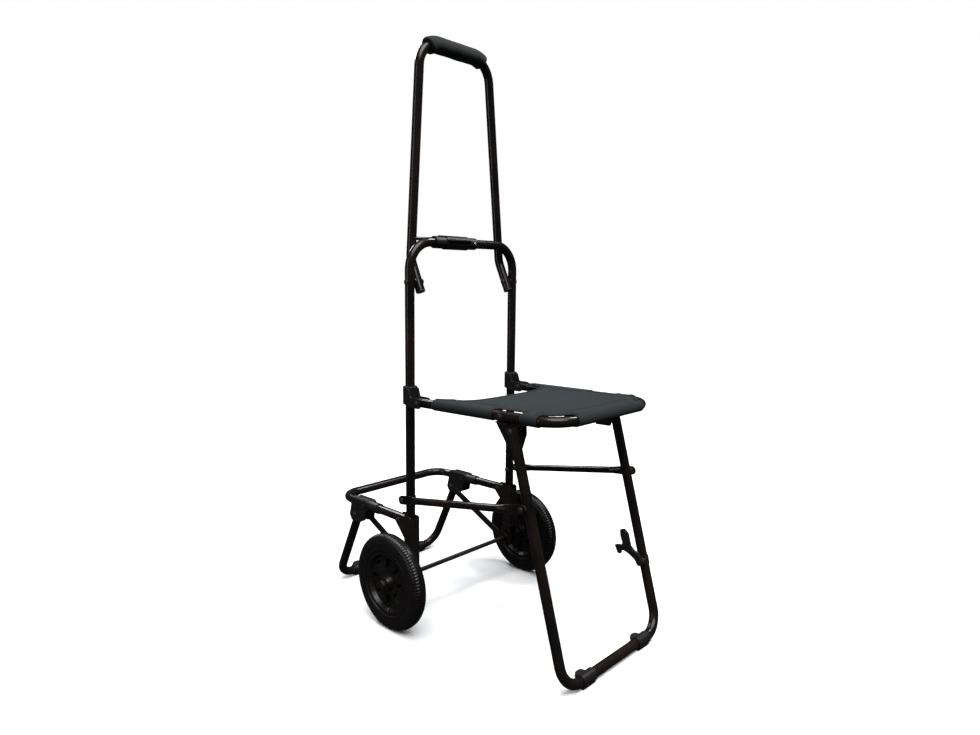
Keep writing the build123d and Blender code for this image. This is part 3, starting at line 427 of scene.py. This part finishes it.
def cloth_height(x, forward):
    """Height of the sheet's middle surface over the tubes' plane: a slight sag and pull folds."""
    across = 1 - min(1.0, abs(x) / half_width(forward)) ** 2
    to_front = max(0.0, SEAT_LENGTH - forward)
    along = FRONT_SAG + (1 - FRONT_SAG) * min(1.0, to_front / SEAT_LENGTH)
    front = min(1.0, to_front / FRONT_PULL)
    folds = 0.0
    for corner_x, corner_t in PULL_CORNERS:
        dx, dt = corner_x - abs(x), forward - corner_t
        away = hypot(dx, dt)
        fade = min(1, away / FOLD_RISE) * max(0.0, 1 - away / FOLD_REACH) ** 2
        folds += FOLD_HEIGHT * sin(FOLDS_ROUND * atan2(dt, max(dx, TINY))) * fade
    ripple = RIPPLE_HEIGHT * noise.noise(Vector((x * 26, forward * 17, 0.3)))
    return CLOTH_R - SAG * across * along * front + (folds + ripple) * min(1.0, across * 3)


def outline_half():
    """The right half of the sheet's outline as (x, forward), from the rear middle to the front middle."""
    points = []
    for i in range(REAR_STEPS + 1):
        x = half_width(REAR_SIDE) * sin(pi / 2 * i / REAR_STEPS)
        points.append((x, rear_edge(x)))
    (_, first_end), (second_start, second_end) = SLEEVE_SPANS
    points.append((half_width(first_end), first_end))
    points += [(NOTCH_X + out, first_end + on) for out, on in NOTCH_ROUND]
    points += [(NOTCH_X + out, second_start - on) for out, on in reversed(NOTCH_ROUND)]
    points += [(half_width(second_start), second_start), (half_width(second_end), second_end)]
    for i in range(FRONT_EDGE_STEPS + 1):
        turn = FRONT_EDGE_FROM + FRONT_EDGE_TURN * i / FRONT_EDGE_STEPS
        points.append((SEAT_FRONT_X - SEAT_BEND_R + FRONT_EDGE_R * cos(turn),
                       SEAT_LENGTH - SEAT_BEND_R + FRONT_EDGE_R * sin(turn)))
    points.append((FRONT_SLEEVE_X, SEAT_LENGTH))
    return points


def cuts(low, high):
    """Evenly spaced grid places between two limits, on multiples of the cell."""
    return [i * CELL for i in range(ceil(low / CELL + 0.2), int(high / CELL - 0.2) + 1)]


def sleeve_section():
    """Middle surface of a sleeve: (outward, up) from the tube's top round it to the sewn flap."""
    turns = [radians(angle) for angle in range(0, 226, 15)]
    section = [(CLOTH_R * sin(turn), CLOTH_R * cos(turn)) for turn in turns]
    out, up = section[-1]
    for share in (0.33, 0.66, 1.0):
        section.append((out + (-FLAP_IN - out) * share, up + (CLOTH_R - FLAP_BELOW - up) * share))
    section.append((-FLAP_END, CLOTH_R - FLAP_BELOW))
    return section


def sleeve_height(x, forward, out, up):
    """Height of a sleeve's point: its own round the tube, and below the sheet where it is on the flap."""
    return cloth_height(x, forward) - FLAP_BELOW if out <= -FLAP_IN + TINY else up


def strip(bm, rows):
    """Faces between rows of points of equal length."""
    made = [[bm.verts.new(point) for point in row] for row in rows]
    for first, second in zip(made, made[1:]):
        for i in range(len(first) - 1):
            bm.faces.new((first[i], first[i + 1], second[i + 1], second[i]))


def sling_cloth():
    """The sling: one sheet from tube to tube, closed round them as sleeves."""
    bm = bmesh.new()
    half = outline_half()
    outline = half + [(-x, t) for x, t in reversed(half) if x > TINY]
    bm.faces.new([bm.verts.new((x, t, 0)) for x, t in outline])
    bmesh.ops.triangulate(bm, faces=bm.faces[:])
    widest = half_width(SLEEVE_SPANS[0][1]) - 2 * MM
    planes = [((x, 0, 0), (1, 0, 0)) for x in cuts(-widest, widest)]
    planes += [((0, t, 0), (0, 1, 0)) for t in cuts(REAR_SIDE, SEAT_LENGTH)]
    for place, normal in planes:
        everything = bm.verts[:] + bm.edges[:] + bm.faces[:]
        bmesh.ops.bisect_plane(bm, geom=everything, plane_co=place, plane_no=normal, dist=1e-7)
    for vert in bm.verts:
        x, t = vert.co.x, vert.co.y
        vert.co = on_seat(x, t, cloth_height(x, t))
    section = sleeve_section()
    for side in (-1, 1):
        for start, end in SLEEVE_SPANS:
            rows = []
            for t in [start] + cuts(start, end) + [end]:
                tube = half_width(t)
                rows.append([on_seat(side * (tube + out), t, sleeve_height(tube + out, t, out, up))
                             for out, up in section])
            strip(bm, rows)
    rows = []
    for x in [-FRONT_SLEEVE_X] + cuts(-FRONT_SLEEVE_X, FRONT_SLEEVE_X) + [FRONT_SLEEVE_X]:
        rows.append([on_seat(x, SEAT_LENGTH + out, sleeve_height(x, SEAT_LENGTH + out, out, up))
                     for out, up in section])
    strip(bm, rows)
    bmesh.ops.remove_doubles(bm, verts=bm.verts, dist=WELD)
    obj = add_object("sling_cloth", mesh_of("sling_cloth", bm), "seat", CLOTH)
    thick = obj.modifiers.new("thickness", "SOLIDIFY")
    thick.thickness = CLOTH_THICK
    thick.offset = 0
    thick.use_even_offset = False
    subdivide(obj)
    return obj


def ribbon(bm, path, inward, width, thickness):
    """A flattened tape with rounded edges along a path; inward is the in-plane side of each point."""
    count = 12
    loops = []
    for point, side in zip(path, inward):
        loop = []
        for i in range(count):
            angle = 2 * pi * i / count
            squared = abs(cos(angle)) ** 0.5 * (1 if cos(angle) > 0 else -1)
            loop.append(point + side * (width / 2 * squared) + SEAT_UP * (thickness / 2 * sin(angle)))
        loops.append(loop)
    skin(bm, loops)


def edge_runs():
    """The sheet's free edges as runs of (x, forward): the rear edge, the notches and the front corners."""
    half = outline_half()
    notch_start = REAR_STEPS + 1
    corner_start = notch_start + 2 + 2 * len(NOTCH_ROUND)
    rear = half[:notch_start]
    notch = half[notch_start:corner_start]
    corner = half[corner_start:]
    runs = [[(-x, t) for x, t in reversed(rear)] + rear[1:]]
    for side in (-1, 1):
        runs.append([(side * x, t) for x, t in notch])
        runs.append([(side * x, t) for x, t in corner])
    return runs


def resample(run, step):
    """Points at even steps along a run of (x, forward)."""
    lengths = [hypot(b[0] - a[0], b[1] - a[1]) for a, b in zip(run, run[1:])]
    count = max(2, round(sum(lengths) / step))
    points = []
    for i in range(count + 1):
        left = sum(lengths) * i / count
        for (a, b), length in zip(zip(run, run[1:]), lengths):
            if left <= length + TINY * MM:
                share = left / length
                points.append((a[0] + (b[0] - a[0]) * share, a[1] + (b[1] - a[1]) * share))
                break
            left -= length
    return points


def inward_of(points):
    """For each point of a run, the in-plane unit vector towards the sheet."""
    result = []
    for i, point in enumerate(points):
        before, after = points[max(0, i - 1)], points[min(len(points) - 1, i + 1)]
        along = Vector((after[0] - before[0], after[1] - before[1])).normalized()
        side = Vector((-along.y, along.x))
        if side.dot(SHEET_MIDDLE - Vector(point)) < 0:
            side = -side
        result.append(side)
    return result


BINDING_WIDTH = 9 * MM
BINDING_THICK = CLOTH_THICK + 1.3 * MM
BINDING_INSET = 3.6 * MM               # from the sheet's edge to the tape's middle


def seat_binding():
    """Woven tape folded over the sheet's free edges."""
    bm = bmesh.new()
    for run in edge_runs():
        points = resample(run, 3 * MM)
        sides = inward_of(points)
        path, inward = [], []
        for (x, t), side in zip(points, sides):
            inner_x, inner_t = x + side.x * BINDING_INSET, t + side.y * BINDING_INSET
            path.append(on_seat(inner_x, inner_t, cloth_height(inner_x, inner_t)))
            inward.append(Vector((side.x, 0, 0)) + FORWARD * side.y)
        ribbon(bm, path, inward, BINDING_WIDTH, BINDING_THICK)
    return add_object("seat_binding", mesh_of("seat_binding", bm), "seat", BINDING)


STITCH_LENGTH = 2.6 * MM
STITCH_PITCH = 3.6 * MM
STITCH_R = 0.34 * MM
STITCH_SHAPE = ((0.0, -0.45, 0.55), (0.18, 0.35, 0.9), (0.5, 0.6, 1.0), (0.82, 0.35, 0.9), (1.0, -0.45, 0.55))
SEAM_INSETS = (FLAP_IN + 1.5 * MM, FLAP_END - 1.5 * MM)
BINDING_SEAM = 6.6 * MM                # from the sheet's edge to the seam that holds its binding


def stitch(bm, start, end, up):
    """One thread stitch: a short strand that dips into the cloth at both ends."""
    along = (end - start).normalized()
    across = along.cross(up)
    loops = []
    for share, lift, size in STITCH_SHAPE:
        centre = start.lerp(end, share) + up * (lift * STITCH_R)
        loops.append(ring(centre, across, up, STITCH_R * size, 6))
    skin(bm, loops)


def seam_lines():
    """Sleeve seams as runs of (x, forward): two along each side sleeve and two along the front one."""
    lines = []
    for side in (-1, 1):
        for start, end in SLEEVE_SPANS:
            for inset in SEAM_INSETS:
                lines.append([(side * (half_width(t) - inset), t) for t in (start + 9 * MM, end - 2 * MM)])
    reach = FRONT_SLEEVE_X - 4 * MM
    for inset in SEAM_INSETS:
        lines.append([(-reach, SEAT_LENGTH - inset), (reach, SEAT_LENGTH - inset)])
    return lines


def seat_stitching():
    """Every stitch on top of the sling: the sleeve seams, and the seams that hold the binding."""
    bm = bmesh.new()

    def sew(points, height):
        for first, second in zip(points, points[1:]):
            share = STITCH_LENGTH / STITCH_PITCH
            end = (first[0] + (second[0] - first[0]) * share, first[1] + (second[1] - first[1]) * share)
            places = [on_seat(x, t, cloth_height(x, t) + height) for x, t in (first, end)]
            stitch(bm, places[0], places[1], SEAT_UP)

    for line in seam_lines():
        sew(resample(line, STITCH_PITCH), CLOTH_THICK / 2)
    for run in edge_runs():
        points = resample(run, STITCH_PITCH)
        inset = [(x + side.x * BINDING_SEAM, t + side.y * BINDING_SEAM)
                 for (x, t), side in zip(points, inward_of(points))]
        sew(inset, CLOTH_THICK / 2 + 0.55 * MM)
    return add_object("seat_stitching", mesh_of("seat_stitching", bm), "seat", CLOTH)


# ---------------------------------------------------------------- foam grip
GRIP_LOW, GRIP_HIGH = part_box("handle_grip")
GRIP_OUTER = 14 * MM
GRIP_BORE = TUBE_R + 0.1 * MM
HANDLE_BEND_R = 42 * MM
HANDLE_TOP_X = 80.5 * MM               # corner of the handle's centre line
HANDLE_LEG_RISE = 357.6 * MM           # each side tube of the handle rises so far
HANDLE_LEG_IN = 28.0 * MM              # and comes in so far
CROOK_BACK = 18 * MM                   # the side tubes start this far behind the fold axis
CROOK_RISE = 38 * MM                   # and this far over it
GRIP_STEPS = 32
GRIP_BEND_STEPS = 10
GRIP_COUNT = 48
GRIP_ROUND = 2.6 * MM
GRIP_ROUND_SHARES = (0.0, 0.35, 0.7, 1.0)
GRIP_END_LAP = 0.42                    # share of the grip's radius that lies past its last centre point
SWELL_HEIGHT = 0.45 * MM
PRESS_HEIGHT = 0.18 * MM


def grip_path():
    """The grip's centre line, along the top bar and into each bend, as (point, angle turned, down)."""
    foot = Vector(JOINTS["handle_fold"]["pos_m"])
    top = Vector((0, (GRIP_LOW.y + GRIP_HIGH.y) / 2, GRIP_HIGH.z - GRIP_OUTER))
    down = Vector((0, foot.y + CROOK_BACK - top.y, foot.z + CROOK_RISE - top.z)).normalized()
    lean = atan2(HANDLE_LEG_IN, HANDLE_LEG_RISE)
    straight = HANDLE_TOP_X - HANDLE_BEND_R * tan((pi / 2 - lean) / 2)
    turn = asin(min(1.0, (GRIP_HIGH.x - straight - GRIP_OUTER * GRIP_END_LAP) / HANDLE_BEND_R))
    bend = []
    for i in range(1, GRIP_BEND_STEPS + 1):
        angle = turn * i / GRIP_BEND_STEPS
        bend.append((straight + HANDLE_BEND_R * sin(angle), HANDLE_BEND_R * (1 - cos(angle)), angle))
    bar = [(-straight + 2 * straight * i / GRIP_STEPS, 0.0, 0.0) for i in range(GRIP_STEPS + 1)]
    points = [(-x, drop, -angle) for x, drop, angle in reversed(bend)] + bar + bend
    return [(top + Vector((x, 0, 0)) + down * drop, angle, down) for x, drop, angle in points]


def foam_grip():
    """Foam sleeve with soft, slightly swollen and pressed skin and rounded ends."""
    path = grip_path()
    bm = bmesh.new()

    def loop(i, radius, shift=0.0, lumpy=0.0):
        """A loop round the path's point i, shifted along the path, with its skin as lumpy as given."""
        centre, angle, down = path[i]
        along = Vector((1, 0, 0)) * cos(angle) + down * sin(angle)
        across = along.cross(down).normalized()
        up = across.cross(along).normalized()
        middle = centre + along * shift
        points = []
        for k in range(GRIP_COUNT):
            turn = 2 * pi * k / GRIP_COUNT
            way = across * cos(turn) + up * sin(turn)
            place = middle + way * radius
            bulge = SWELL_HEIGHT * noise.noise(place * 42) * lumpy
            bulge += PRESS_HEIGHT * noise.noise(place * 150) * lumpy
            points.append(middle + way * (radius + bulge))
        return points

    def rounded(i, side, shares):
        """Loops of an end's rounded edge, at these shares of its quarter turn."""
        turns = [pi / 2 * share for share in shares]
        return [loop(i, GRIP_OUTER - GRIP_ROUND * (1 - sin(turn)), side * GRIP_ROUND * cos(turn), 1.0)
                for turn in turns]

    last = len(path) - 1
    mouth, mouth_out = GRIP_BORE + 0.6 * MM, GRIP_ROUND * 0.9
    loops = rounded(0, -1, GRIP_ROUND_SHARES)
    loops += [loop(i, GRIP_OUTER, 0.0, 1.0) for i in range(1, last)]
    loops += rounded(last, 1, GRIP_ROUND_SHARES[::-1])
    loops.append(loop(last, mouth, mouth_out))
    loops += [loop(i, GRIP_BORE) for i in range(last, -1, -1)]
    loops.append(loop(0, mouth, -mouth_out))
    skin(bm, loops, closed=True)
    return add_object("foam_grip", mesh_of("foam_grip", bm), "handle", FOAM)


# ---------------------------------------------------------------- tyres
TREAD_STEPS = 384
TREAD_EVERY = 4
TREAD_SHARP = radians(38)
TREAD_DEPTH = 0.9 * MM
SHOULDER_START = 0.3                   # share of the tread's depth at the shoulder's outer end
SHOULDER_END = 0.4                     # and beside the centre rib


def tyre_profile():
    """Closed section of a tyre as (out from its middle plane, radius, tread share)."""
    bead = [(10.0, 54.0), (10.8, 54.5), (11.3, 55.8), (12.3, 56.4), (12.6, 57.6), (12.1, 58.6)]
    wall = [(12.3, 61.0), (12.7, 65.0), (12.9, 67.6), (13.0, 69.2), (12.5, 70.2)]
    shoulder = [(12.5, 71.4), (12.2, 73.6), (11.2, 76.6), (9.6, 79.2), (7.6, 80.8), (5.6, 81.7), (4.3, 82.0)]
    rib = [(3.9, 81.4), (3.4, 81.4), (3.0, 82.3), (1.2, 82.5)]
    shares = [SHOULDER_START] + [1] * (len(shoulder) - 2) + [SHOULDER_END]
    outer = [(x, r, 0) for x, r in bead + wall]
    outer += [(x, r, share) for (x, r), share in zip(shoulder, shares)]
    outer += [(x, r, 0) for x, r in rib]
    right = [(x * MM, r * MM, tread) for x, r, tread in outer]
    return right + [(-x, r, tread) for x, r, tread in reversed(right)]


def tyre(name):
    """A solid tyre with a centre rib, cross grooves over its shoulders and a bead at the rim."""
    box_low, box_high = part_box(f"tyre_{name}")
    middle = Vector(((box_low.x + box_high.x) / 2, AXLE.y, AXLE.z))
    bm = bmesh.new()
    loops = []
    for out, radius, tread in tyre_profile():
        loop = []
        for i in range(TREAD_STEPS):
            turn = 2 * pi * i / TREAD_STEPS
            shifted = i + (TREAD_EVERY // 2 if out > 0 else 0)
            groove = TREAD_DEPTH * tread if shifted % TREAD_EVERY == 0 else 0.0
            r = radius - groove
            loop.append(middle + Vector((out, r * cos(turn), r * sin(turn))))
        loops.append(loop)
    skin(bm, loops, closed=True)
    piece = f"tyre_tread_{name}"
    obj = add_object(piece, mesh_of(piece, bm), f"wheel_{name}", TYRE)
    obj.data.set_sharp_from_angle(angle=TREAD_SHARP)
    return obj


# ---------------------------------------------------------------- small details
SCREW_FROM_END = 7 * MM
SCREW_SINK = 0.3 * MM                  # the head starts so far inside the sleeve
HEAD_R = 2.6 * MM
HEAD_HEIGHT = 1.3 * MM
HEAD_EDGE = 0.4 * MM
HEAD_COUNT = 48
HEAD_RINGS = 14
CROSS_HALF = 0.36 * MM
CROSS_REACH = 1.8 * MM
CROSS_DEPTH = 0.8 * MM


def latch_screw():
    """Small pan head screw in the right part of the latch, with a cross recess."""
    low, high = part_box("latch_sleeve")
    bar_z = JOINTS["latch_open"]["pos_m"][2]
    middle = Vector((high.x - SCREW_FROM_END, low.y + SCREW_SINK, bar_z))
    across, up = Vector((1, 0, 0)), Vector((0, 0, 1))
    bm = bmesh.new()
    loops = [ring(middle, across, up, HEAD_R, HEAD_COUNT)]
    for i in range(HEAD_RINGS):
        r = HEAD_R * (1 - i / HEAD_RINGS)
        rise = HEAD_HEIGHT * (1 - (r / HEAD_R) ** 3) ** 0.5 + HEAD_EDGE
        loop = []
        for point in ring(middle, across, up, r, HEAD_COUNT):
            dx, dz = point.x - middle.x, point.z - middle.z
            in_cross = min(abs(dx), abs(dz)) < CROSS_HALF and r < CROSS_REACH
            loop.append(point - Vector((0, rise - (CROSS_DEPTH if in_cross else 0.0), 0)))
        loops.append(loop)
    skin(bm, loops)
    return add_object("latch_screw", mesh_of("latch_screw", bm), "frame", STEEL)


def make_pieces():
    """Every piece that Blender adds to the CAD nodes."""
    sling = sling_cloth()
    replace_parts(sling, "seat_fabric")
    binding = seat_binding()
    stitching = seat_stitching()
    grip = foam_grip()
    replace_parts(grip, "handle_grip")
    for name in SIDES:
        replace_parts(tyre(name), f"tyre_{name}")
    latch_screw()


# ---------------------------------------------------------------- studio
FLOOR_R = 14.0
FLOOR_COUNT = 96


def stage():
    """A pale round floor with no visible end, which the cart neither mirrors nor is lit by from below."""
    bm = bmesh.new()
    rim = ring(Vector((0, 0, 0)), Vector((1, 0, 0)), Vector((0, 1, 0)), FLOOR_R, FLOOR_COUNT)
    bm.faces.new([bm.verts.new(point) for point in rim])
    mesh = mesh_of("floor", bm)
    obj = bpy.data.objects.new("floor", mesh)
    bpy.context.scene.collection.objects.link(obj)
    paint = Paint("floor_paint", roughness=0.75, Specular_IOR_Level=0.2)
    paint.colour(paint.blend(paint.noise(1.2, detail=2), (0.86, 0.86, 0.86), (0.88, 0.88, 0.88)))
    obj.data.materials.append(paint.material)
    obj.visible_glossy = False
    obj.visible_diffuse = False


def area_light(name, place, target, size, power, colour=(1, 1, 1)):
    """A soft rectangular light aimed at a target."""
    data = bpy.data.lights.new(name, "AREA")
    data.shape = "RECTANGLE"
    data.size, data.size_y = size
    data.energy = power
    data.color = colour
    obj = bpy.data.objects.new(name, data)
    bpy.context.scene.collection.objects.link(obj)
    obj.location = place
    obj.rotation_euler = (Vector(target) - Vector(place)).to_track_quat("-Z", "Y").to_euler()


SURROUND_DIM = (0.045, 0.046, 0.048, 1)     # what lights the cart
SURROUND_SEEN = (1.0, 1.0, 1.0, 1)          # what stands behind it
SUN_POWER = 4.3
SUN_SPREAD = radians(50)
SUN_TILT = (radians(24), radians(-14), 0)


def lights():
    """Soft boxes above, behind and at the left, a broad sun for an even floor, and a dim surround."""
    middle = (0, 0, 0.45)
    cool = (0.96, 0.98, 1.0)
    area_light("overhead", (-0.2, -0.3, 2.7), middle, (1.8, 1.8), 16)
    area_light("key", (1.3, -0.6, 2.4), middle, (0.6, 0.6), 36, cool)
    area_light("back", (0.1, 2.0, 2.0), middle, (1.2, 0.45), 34, cool)
    area_light("left_strip", (-2.3, 0.5, 1.1), middle, (0.35, 1.8), 12, (0.94, 0.97, 1.0))
    sun = bpy.data.lights.new("sun", "SUN")
    sun.energy = SUN_POWER
    sun.angle = SUN_SPREAD
    obj = bpy.data.objects.new("sun", sun)
    bpy.context.scene.collection.objects.link(obj)
    obj.rotation_euler = SUN_TILT
    world = bpy.data.worlds.new("surround")
    bpy.context.scene.world = world
    world.use_nodes = True
    tree = world.node_tree
    background = tree.nodes["Background"]
    rays = tree.nodes.new("ShaderNodeLightPath")
    mix = tree.nodes.new("ShaderNodeMix")
    mix.data_type = "RGBA"
    tree.links.new(rays.outputs["Is Camera Ray"], mix.inputs["Factor"])
    mix.inputs["A"].default_value = SURROUND_DIM
    mix.inputs["B"].default_value = SURROUND_SEEN
    tree.links.new(mix.outputs["Result"], background.inputs["Color"])
    background.inputs["Strength"].default_value = 1.0
    bpy.context.scene.view_settings.view_transform = "Standard"


CAMERA_PLACE = Vector((-0.8779, -0.8379, 0.6004))
CAMERA_YAW = radians(-46.617)
CAMERA_PITCH = radians(-7.579)
CAMERA_ROLL = radians(0.60)
LENS = 25.687                          # millimetres, as is the sensor's width
SENSOR_WIDTH = 36


def camera():
    """The camera, at a person's distance before the cart's left front corner."""
    data = bpy.data.cameras.new("camera")
    data.lens = LENS
    data.sensor_width = SENSOR_WIDTH
    data.sensor_fit = "HORIZONTAL"
    data.clip_start = 0.02
    obj = bpy.data.objects.new("camera", data)
    bpy.context.scene.collection.objects.link(obj)
    level = cos(CAMERA_PITCH)
    ahead = Vector((-sin(CAMERA_YAW) * level, cos(CAMERA_YAW) * level, sin(CAMERA_PITCH)))
    right = Vector((cos(CAMERA_YAW), sin(CAMERA_YAW), 0))
    up = right.cross(ahead)
    turned = right * cos(CAMERA_ROLL) + up * sin(CAMERA_ROLL)
    above = turned.cross(ahead)
    obj.matrix_world = Matrix((
        (turned.x, above.x, -ahead.x, CAMERA_PLACE.x),
        (turned.y, above.y, -ahead.y, CAMERA_PLACE.y),
        (turned.z, above.z, -ahead.z, CAMERA_PLACE.z),
        (0, 0, 0, 1),
    ))
    bpy.context.scene.camera = obj


camera()
lights()
stage()
dress_cad_nodes()
make_pieces()
